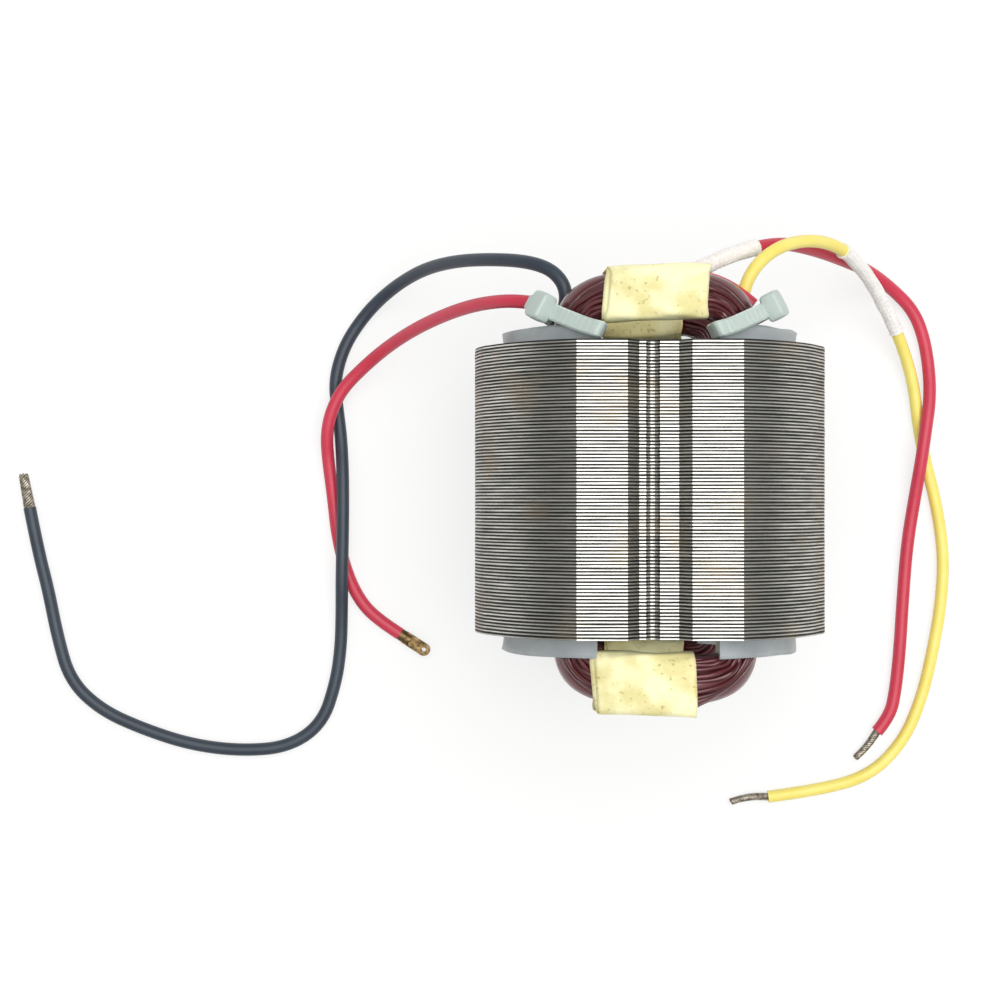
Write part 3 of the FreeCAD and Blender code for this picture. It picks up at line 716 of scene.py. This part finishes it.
def bare_strands(name, line, length, spread, flat, bow, material):
    """Seven twisted strands that go on from a lead's end: one in the middle and six that wind round
    it. flat squeezes the bundle's height, and bow bends it sideways along a half sine."""
    end, direction = line[-1], unit(line[-1] - line[-3])
    across = np.array([-direction[1], direction[0], 0.0])
    share = np.linspace(-0.1, 1, 46)[None, :]
    turn = 2 * np.pi * (share * length / strand_lay + np.arange(7)[:, None] / 6)
    ring = np.where(np.arange(7) == 6, 0, spread)[:, None] * (1 - 0.25 * share)
    drop = (line[-1, 2] - strand_rest) * np.clip(share, 0, 1) ** 1.5
    offset = ring * np.cos(turn) / math.sqrt(flat) + bow * np.sin(np.pi * share)
    height = ring * np.sin(turn) * flat - drop
    reach = length * (share + np.random.default_rng(5).uniform(-0.03, 0.03, (7, 1)) * (share > 0.9))
    lines = (end + direction * reach[..., None] + across * offset[..., None]
             + np.array([0, 0, 1.0]) * height[..., None])
    points, faces = swept(lines, circle(strand_radius, 8), (0, 0, 1))
    return add_piece(name, points, faces, [material], sharp=60)


# ---- materials ----
def steel_edge(name, dark, light, sockets):
    """Bare silicon-steel sheet edge. Brightness streaks run along each sheet: 6 mm long by the
    0.5 mm of one sheet, with a few oil and heat stains about 9 mm wide."""
    material, tree, shader, place = start_material(name, {"Metallic": 1.0, **sockets})
    streak_place = add_node(tree, "ShaderNodeMapping", {"Vector": place, "Scale": (170, 1900, 170)})
    streak = add_node(tree, "ShaderNodeTexNoise", {
        "Vector": streak_place.outputs[0], "Scale": 1.0, "Detail": 4.0, "Roughness": 0.6})
    level = add_node(tree, "ShaderNodeMapRange", {
        "Value": streak.outputs[0], "From Min": 0.3, "From Max": 0.7})
    tone = add_node(tree, "ShaderNodeMix", {0: level.outputs[0], 6: linear(dark), 7: linear(light)},
                    data_type="RGBA")
    stain = add_node(tree, "ShaderNodeTexNoise", {"Vector": place, "Scale": 110.0, "Detail": 3.0})
    amount = add_node(tree, "ShaderNodeMapRange", {
        "Value": stain.outputs[0], "From Min": 0.55, "From Max": 0.8, "To Max": 0.4})
    stained = add_node(tree, "ShaderNodeMix", {
        0: amount.outputs[0], 6: tone.outputs[2], 7: linear("a58a63")}, data_type="RGBA")
    tree.links.new(stained.outputs[2], shader.inputs["Base Color"])
    rough = add_node(tree, "ShaderNodeMapRange", {
        "Value": streak.outputs[0], "To Min": sockets["Roughness"] + 0.1,
        "To Max": sockets["Roughness"] - 0.08})
    tree.links.new(rough.outputs[0], shader.inputs["Roughness"])
    return material


def coated_sheet():
    """Face of an electrical sheet: thin grey insulating coat on steel, with a faint mottle."""
    material, tree, shader, place = start_material("electrical_steel_coated", {
        "Metallic": 0.55, "Roughness": 0.42})
    mottle = add_node(tree, "ShaderNodeTexNoise", {"Vector": place, "Scale": 600.0, "Detail": 5.0})
    tone = add_node(tree, "ShaderNodeMix", {
        0: mottle.outputs[0], 6: linear("6e7376"), 7: linear("989c9c")}, data_type="RGBA")
    tree.links.new(tone.outputs[2], shader.inputs["Base Color"])
    return material


def slot_paper():
    """Glazed slot paper laid on film: grey-white, a little see-through, with fibres about 2 mm long
    and slow changes of tone."""
    material, tree, shader, place = start_material("slot_paper", {
        "Roughness": 0.38, "Subsurface Weight": 0.25, "Subsurface Radius": (0.001, 0.001, 0.001),
        "Transmission Weight": 0.12})
    slow = add_node(tree, "ShaderNodeTexNoise", {"Vector": place, "Scale": 160.0, "Detail": 3.0})
    tone = add_node(tree, "ShaderNodeMix", {
        0: slow.outputs[0], 6: linear("8d9598"), 7: linear("c9cfd0")}, data_type="RGBA")
    tree.links.new(tone.outputs[2], shader.inputs["Base Color"])
    fibre_place = add_node(tree, "ShaderNodeMapping", {"Vector": place, "Scale": (500, 2500, 2500)})
    fibre = add_node(tree, "ShaderNodeTexNoise", {"Vector": fibre_place.outputs[0], "Scale": 1.0})
    bump = add_node(tree, "ShaderNodeBump", {
        "Height": fibre.outputs[0], "Strength": 0.25, "Distance": 0.00005})
    tree.links.new(bump.outputs[0], shader.inputs["Normal"])
    return material


def enamelled_wire():
    """Copper wire under a dark red-brown polyester enamel: a clear glossy coat, with the copper's
    warmth below it. Each wire differs a little in tone."""
    material, tree, shader, place = start_material("enamelled_copper_wire", {
        "Metallic": 0.35, "Roughness": 0.34, "Coat Weight": 0.9, "Coat Roughness": 0.12})
    strand = add_node(tree, "ShaderNodeAttribute", attribute_name="strand")
    pick = add_node(tree, "ShaderNodeTexWhiteNoise", {"W": strand.outputs["Fac"]},
                    noise_dimensions="1D")
    tone = add_node(tree, "ShaderNodeMix", {
        0: pick.outputs["Value"], 6: linear("38141c"), 7: linear("6e2c30")}, data_type="RGBA")
    cloud = add_node(tree, "ShaderNodeTexNoise", {"Vector": place, "Scale": 300.0, "Detail": 2.0})
    warm = add_node(tree, "ShaderNodeMix", {
        0: cloud.outputs[0], 6: tone.outputs[2], 7: linear("561c20")}, data_type="RGBA")
    tree.links.new(warm.outputs[2], shader.inputs["Base Color"])
    return material


def paper_tape():
    """Pale yellow paper tape, soaked with varnish in spots: small brown flecks of about 0.4 mm,
    slow stains and a fine crepe of 0.3 mm."""
    material, tree, shader, place = start_material("varnished_paper_tape", {
        "Roughness": 0.62, "Subsurface Weight": 0.1, "Subsurface Radius": (0.001, 0.0008, 0.0003)})
    slow = add_node(tree, "ShaderNodeTexNoise", {"Vector": place, "Scale": 230.0, "Detail": 4.0})
    level = add_node(tree, "ShaderNodeMapRange", {
        "Value": slow.outputs[0], "From Min": 0.4, "From Max": 0.62})
    tone = add_node(tree, "ShaderNodeMix", {
        0: level.outputs[0], 6: linear("e2d898"), 7: linear("f9f4c2")}, data_type="RGBA")
    fleck = add_node(tree, "ShaderNodeTexNoise", {"Vector": place, "Scale": 1500.0, "Detail": 2.0})
    fleck_level = add_node(tree, "ShaderNodeMapRange", {
        "Value": fleck.outputs[0], "From Min": 0.62, "From Max": 0.7, "To Max": 0.55})
    area = add_node(tree, "ShaderNodeMapRange", {
        "Value": slow.outputs[0], "From Min": 0.6, "From Max": 0.45})
    amount = add_node(tree, "ShaderNodeMath", {0: fleck_level.outputs[0], 1: area.outputs[0]},
                      operation="MULTIPLY")
    stained = add_node(tree, "ShaderNodeMix", {
        0: amount.outputs[0], 6: tone.outputs[2], 7: linear("9a8750")}, data_type="RGBA")
    tree.links.new(stained.outputs[2], shader.inputs["Base Color"])
    bump = add_node(tree, "ShaderNodeBump", {
        "Height": fleck.outputs[0], "Strength": 0.3, "Distance": 0.00006})
    tree.links.new(bump.outputs[0], shader.inputs["Normal"])
    return material


def natural_nylon():
    """Uncoloured moulded nylon: milky and slightly green, light passes a little way into it."""
    material, tree, shader, place = start_material("natural_nylon", {
        "Base Color": linear("c4d2cb"), "Roughness": 0.3, "Subsurface Weight": 0.5,
        "Subsurface Radius": (0.0016, 0.0018, 0.0017), "Transmission Weight": 0.15, "IOR": 1.53})
    cloud = add_node(tree, "ShaderNodeTexNoise", {"Vector": place, "Scale": 900.0, "Detail": 2.0})
    bump = add_node(tree, "ShaderNodeBump", {
        "Height": cloud.outputs[0], "Strength": 0.2, "Distance": 0.00005})
    tree.links.new(bump.outputs[0], shader.inputs["Normal"])
    return material


def lead_skin(name, dark, light, roughness):
    """Extruded plastic insulation: even colour with slow changes of 5 mm, a satin skin and a
    fine drag grain."""
    material, tree, shader, place = start_material(name, {"Roughness": roughness})
    slow = add_node(tree, "ShaderNodeTexNoise", {"Vector": place, "Scale": 200.0, "Detail": 3.0})
    tone = add_node(tree, "ShaderNodeMix", {
        0: slow.outputs[0], 6: linear(dark), 7: linear(light)}, data_type="RGBA")
    tree.links.new(tone.outputs[2], shader.inputs["Base Color"])
    grain = add_node(tree, "ShaderNodeTexNoise", {"Vector": place, "Scale": 2600.0, "Detail": 2.0})
    bump = add_node(tree, "ShaderNodeBump", {
        "Height": grain.outputs[0], "Strength": 0.15, "Distance": 0.00004})
    tree.links.new(bump.outputs[0], shader.inputs["Normal"])
    return material


def glass_braid():
    """Varnished glass-fibre braid, off-white and slightly fuzzy: threads of 0.3 mm over the
    modelled weave, with a soft sheen."""
    material, tree, shader, place = start_material("glass_fibre_braid", {
        "Roughness": 0.7, "Sheen Weight": 0.4, "Sheen Roughness": 0.4})
    thread = add_node(tree, "ShaderNodeTexNoise", {"Vector": place, "Scale": 1800.0, "Detail": 3.0})
    tone = add_node(tree, "ShaderNodeMix", {
        0: thread.outputs[0], 6: linear("dad4ce"), 7: linear("fdfbf8")}, data_type="RGBA")
    tree.links.new(tone.outputs[2], shader.inputs["Base Color"])
    bump = add_node(tree, "ShaderNodeBump", {
        "Height": thread.outputs[0], "Strength": 0.6, "Distance": 0.0001})
    tree.links.new(bump.outputs[0], shader.inputs["Normal"])
    return material


def plain_metal(name, dark, light, roughness):
    """Soft bare metal with handling marks about 0.5 mm wide, dull in the hollows."""
    material, tree, shader, place = start_material(name, {"Metallic": 1.0})
    marks = add_node(tree, "ShaderNodeTexNoise", {"Vector": place, "Scale": 1400.0, "Detail": 4.0})
    level = add_node(tree, "ShaderNodeMapRange", {
        "Value": marks.outputs[0], "From Min": 0.35, "From Max": 0.65})
    tone = add_node(tree, "ShaderNodeMix", {
        0: level.outputs[0], 6: linear(dark), 7: linear(light)}, data_type="RGBA")
    tree.links.new(tone.outputs[2], shader.inputs["Base Color"])
    rough = add_node(tree, "ShaderNodeMapRange", {
        "Value": marks.outputs[0], "To Min": roughness + 0.15, "To Max": roughness - 0.1})
    tree.links.new(rough.outputs[0], shader.inputs["Roughness"])
    return material


# ---- the pieces ----
burnished = steel_edge("stamped_steel_burnished", "aaaaa5", "e4e3dc", {"Roughness": 0.36})
# The torn band is duller steel, but its near-black colour is painted shade. The same material also paints
# the shade on the gap faces between sheets.
torn_steel_and_gap_shade = steel_edge("stamped_steel_torn_and_painted_gap_shade", "2e2d2a", "4e4c47", {"Roughness": 0.6})
stack = lamination_stack([burnished, torn_steel_and_gap_shade, coated_sheet()])
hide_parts("lamination_stack")

paper = slot_paper()
for name, side in (("left", -1), ("right", 1)):
    liner = slot_liner("paper_liner_" + name, side, 20 + side, [paper])
    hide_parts("slot_liner_" + name)

wire = enamelled_wire()
tape = paper_tape()
tape_spans = {("upper", "lead"): (-7.8, 7.1), ("upper", "far"): (-9.3, 5.2),
              ("lower", "lead"): (-6.3, 6.6), ("lower", "far"): (-5.8, 6.8)}
tape_skews = {("upper", "lead"): (0.08, 0.035), ("upper", "far"): (0.05, 0.02),
              ("lower", "lead"): (0.0, -0.02), ("lower", "far"): (0.02, 0.02)}
for seed, (name, side) in enumerate((("upper", 1), ("lower", -1))):
    winding = coil("wound_coil_" + name, side, 31 + 10 * seed, [wire])
    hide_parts("coil_" + name)
    for end in ("lead", "far"):
        span = [value * mm for value in tape_spans[name, end]]
        wrap = coil_tape("head_tape_" + name + "_" + end, side, end, span, tape_skews[name, end],
                         51 + 10 * seed + len(end), [tape])
        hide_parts("tape_" + name + "_" + end + "_end")

nylon = natural_nylon()
for name, side, head_at in (("left", -1, 3.4), ("right", 1, 3.6)):
    tie = cable_tie("nylon_tie_" + name, side, head_at, [nylon])
    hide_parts("cable_tie_" + name)

black_skin = lead_skin("black_lead_insulation", "262e38", "38434f", 0.42)
red_skin = lead_skin("red_lead_insulation", "bd2f45", "d23d54", 0.4)
yellow_skin = lead_skin("yellow_lead_insulation", "ead65e", "f7e884", 0.4)
leads = {}
for name, route, radius, skin, slot in (
        ("black", route_black, lead_radius, black_skin, "black_insulation"),
        ("red_left", route_red_left, lead_radius, red_skin, "red_insulation"),
        ("red_right", route_red_right, lead_radius, red_skin, "red_insulation"),
        ("yellow", route_yellow, yellow_radius, yellow_skin, "yellow_insulation")):
    leads[name] = add_lead("wire_" + name, route, radius, skin)
    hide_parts("lead_" + name)
lines = {name: line_of(lead) for name, lead in leads.items()}

braid = glass_braid()
sleeve_red = braided_sleeve("braid_red", lines["red_right"], (0.0047, 0.0332, 0.0298),
                            (0.0167, 0.0378, 0.0261), 1.25 * mm, braid)
sleeve_yellow = braided_sleeve("braid_yellow", lines["yellow"], (0.0316, 0.0383, 0.0167),
                               (0.0424, 0.0264, 0.0041), 1.15 * mm, braid)
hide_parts("sleeve_red")
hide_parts("sleeve_yellow")

tinned = plain_metal("tinned_copper_strands", "6f675c", "bdb4a6", 0.42)
for name, lead, length, spread, flat, bow in (
        ("black", "black", 5.6, 0.55, 0.55, 0.0),
        ("red", "red_right", 5.6, 0.4, 0.9, 0.2),
        ("yellow", "yellow", 6.2, 0.38, 0.9, -0.35)):
    bare_strands("strands_" + name, lines[lead], length * mm, spread * mm, flat,
                              bow * mm, tinned)
    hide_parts("bare_end_" + name)
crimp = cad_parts["crimp_red"]
crimp.data.materials.clear()
crimp.data.materials.append(plain_metal("crimp_brass", "4a3c28", "8b7450", 0.45))

# ---- floor, light and camera ----
bpy.ops.mesh.primitive_plane_add(size=6, location=(0, 0, -0.05 * mm))
floor = bpy.context.object
floor.name = "floor"
paint = bpy.data.materials.new("pale_table")
paint.use_nodes = True
tree = paint.node_tree
tree.nodes.clear()
ray = add_node(tree, "ShaderNodeLightPath")
seen = add_node(tree, "ShaderNodeMath", {0: ray.outputs["Is Camera Ray"],
                                         1: ray.outputs["Is Glossy Ray"]}, operation="MAXIMUM")
seen = add_node(tree, "ShaderNodeMath", {0: seen.outputs[0], 1: ray.outputs["Is Transmission Ray"]},
                operation="MAXIMUM")
share = add_node(tree, "ShaderNodeMath", {0: seen.outputs[0], 1: 0.72}, operation="MULTIPLY")
matt = add_node(tree, "ShaderNodeBsdfDiffuse", {"Color": linear("f6f6f4")})
white = add_node(tree, "ShaderNodeEmission", {"Color": (1, 1, 1, 1), "Strength": 1.0})
mixed = add_node(tree, "ShaderNodeMixShader", {0: share.outputs[0], 1: matt.outputs[0],
                                               2: white.outputs[0]})
add_node(tree, "ShaderNodeOutputMaterial", {"Surface": mixed.outputs[0]})
floor.data.materials.append(paint)

world = bpy.data.worlds.new("soft_room")
bpy.context.scene.world = world
world.use_nodes = True
tree = world.node_tree
background = tree.nodes["Background"]
direction = add_node(tree, "ShaderNodeTexCoord").outputs["Generated"]
height = add_node(tree, "ShaderNodeSeparateXYZ", {0: direction}).outputs["Z"]
level = add_node(tree, "ShaderNodeMapRange", {
    "Value": height, "From Min": 0.55, "From Max": 0.97, "To Min": 0.34, "To Max": 1.25})
ray = add_node(tree, "ShaderNodeLightPath")
seen = add_node(tree, "ShaderNodeMath", {0: ray.outputs["Is Camera Ray"],
                                         1: ray.outputs["Is Transmission Ray"]}, operation="MAXIMUM")
strength = add_node(tree, "ShaderNodeMix", {0: seen.outputs[0], 2: level.outputs[0], 3: 1.0},
                    data_type="FLOAT")
tree.links.new(strength.outputs[0], background.inputs["Strength"])
background.inputs["Color"].default_value = (1, 1, 1, 1)

lamp_data = bpy.data.lights.new("soft_lamp", "AREA")
lamp_data.shape = "DISK"
lamp_data.size = 1.0
lamp_data.energy = 6.0
lamp = bpy.data.objects.new("soft_lamp", lamp_data)
bpy.context.scene.collection.objects.link(lamp)
lamp.location = (0.2, 0.16, 0.9)
lamp.rotation_euler = (-0.18, 0.22, 0)

camera_data = bpy.data.cameras.new("camera")
camera_data.lens = 78.0
camera_data.sensor_width = 36.0
camera_data.clip_start = 0.01
camera_data.clip_end = 20.0
camera = bpy.data.objects.new("camera", camera_data)
bpy.context.scene.collection.objects.link(camera)
camera.location = (-0.0233, -0.0015, 0.3632)
bpy.context.scene.camera = camera
bpy.context.scene.view_settings.view_transform = "Standard"
